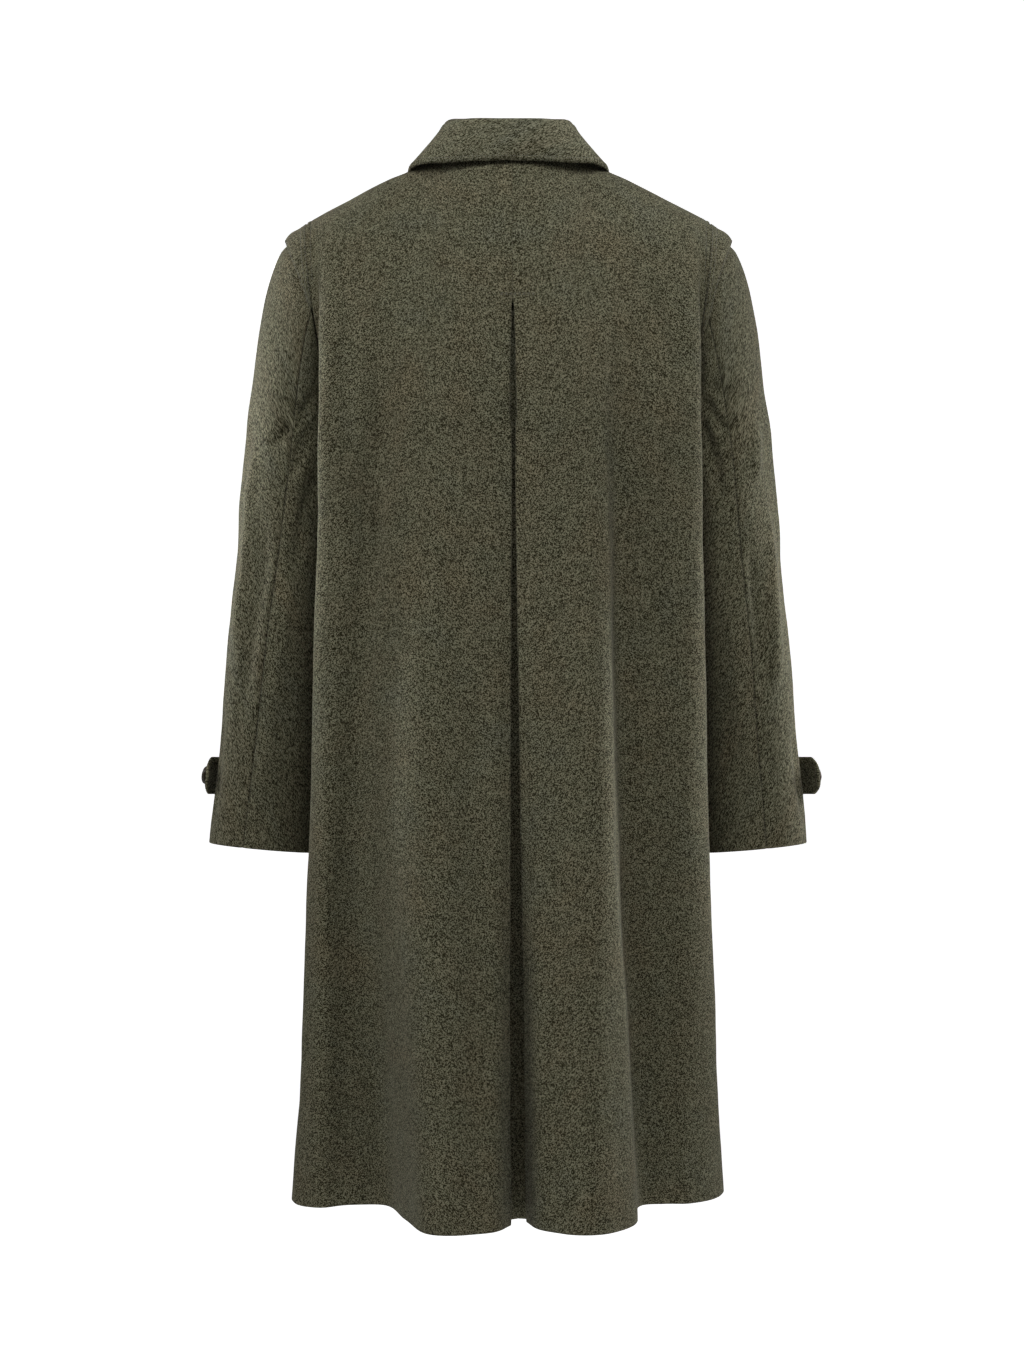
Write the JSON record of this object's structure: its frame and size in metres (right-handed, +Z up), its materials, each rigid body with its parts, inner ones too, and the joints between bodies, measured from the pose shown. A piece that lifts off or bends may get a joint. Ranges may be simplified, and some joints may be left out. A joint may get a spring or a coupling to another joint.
{
  "type": "loden coat as worn, held up by its wearer's shoulders",
  "caption": "Knee-length wool coat standing filled out with nobody in it: fold-down collar, banded armholes, long sleeves with buttoned cuff straps and an inverted pleat down the back.",
  "frame": {"origin": "middle of the neck at the height where the shoulder line leaves the collar, midway between the two side neck points", "axes": "+Z up, +Y towards the coat's front, +X towards its right sleeve; the centre back pleat faces -Y"},
  "size_m": [0.6411, 0.358, 1.1202],
  "materials": {
    "loden": "fulled, softly hairy olive wool with fine lighter and darker flecks",
    "horn": "dark brown horn-like buttons, satin"
  },
  "bodies": {
    "root": {"back_left": "loden", "back_right": "loden", "pleat_underlay": "loden", "front_left": "loden", "front_right": "loden", "collar_stand": "loden", "collar_fall": "loden", "armhole_band_left": "loden", "armhole_band_right": "loden", "sleeve_top_left": "loden", "sleeve_under_left": "loden", "sleeve_top_right": "loden", "sleeve_under_right": "loden", "cuff_strap_left": "loden", "cuff_strap_right": "loden", "cuff_button_left": "horn", "cuff_button_right": "horn", "front_button_1": "horn", "front_button_2": "horn", "front_button_3": "horn", "front_button_4": "horn", "front_button_5": "horn"}
  },
  "joints": []
}
